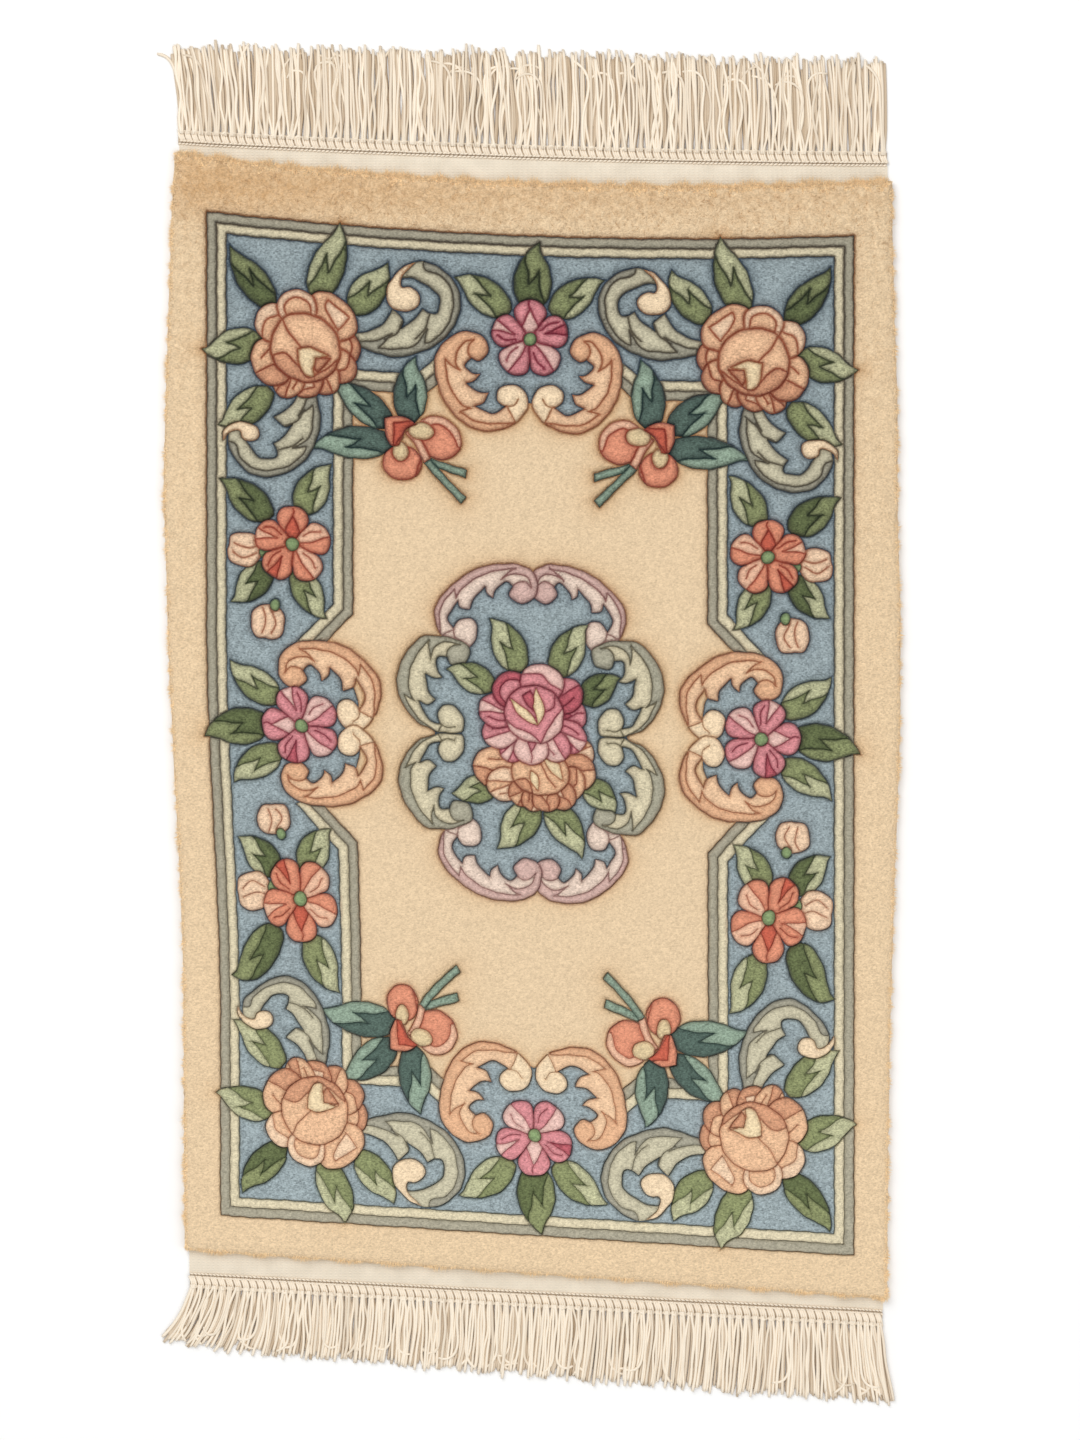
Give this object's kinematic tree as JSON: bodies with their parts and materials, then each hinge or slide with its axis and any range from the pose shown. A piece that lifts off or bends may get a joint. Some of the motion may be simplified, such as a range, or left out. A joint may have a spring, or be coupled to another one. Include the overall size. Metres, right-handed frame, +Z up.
{
  "type": "chinese rug",
  "caption": "Small carved wool rug lying flat, with a flowered border, a central medallion, flat-woven cotton ends and a knotted fringe at each end.",
  "frame": {"origin": "on the floor under the middle of the rug's bounding box, fringes included", "axes": "+Y along the rug's length towards its wider plain border, +X across it, +Z up out of the pile"},
  "size_m": [0.6312, 1.1714, 0.015],
  "materials": {
    "wool_pile": "cut and carved wool pile, matte",
    "cotton": "undyed cotton yarn, matte"
  },
  "bodies": {
    "root": {"rug": "wool_pile", "fringe_top": "cotton", "fringe_bottom": "cotton"}
  },
  "joints": []
}
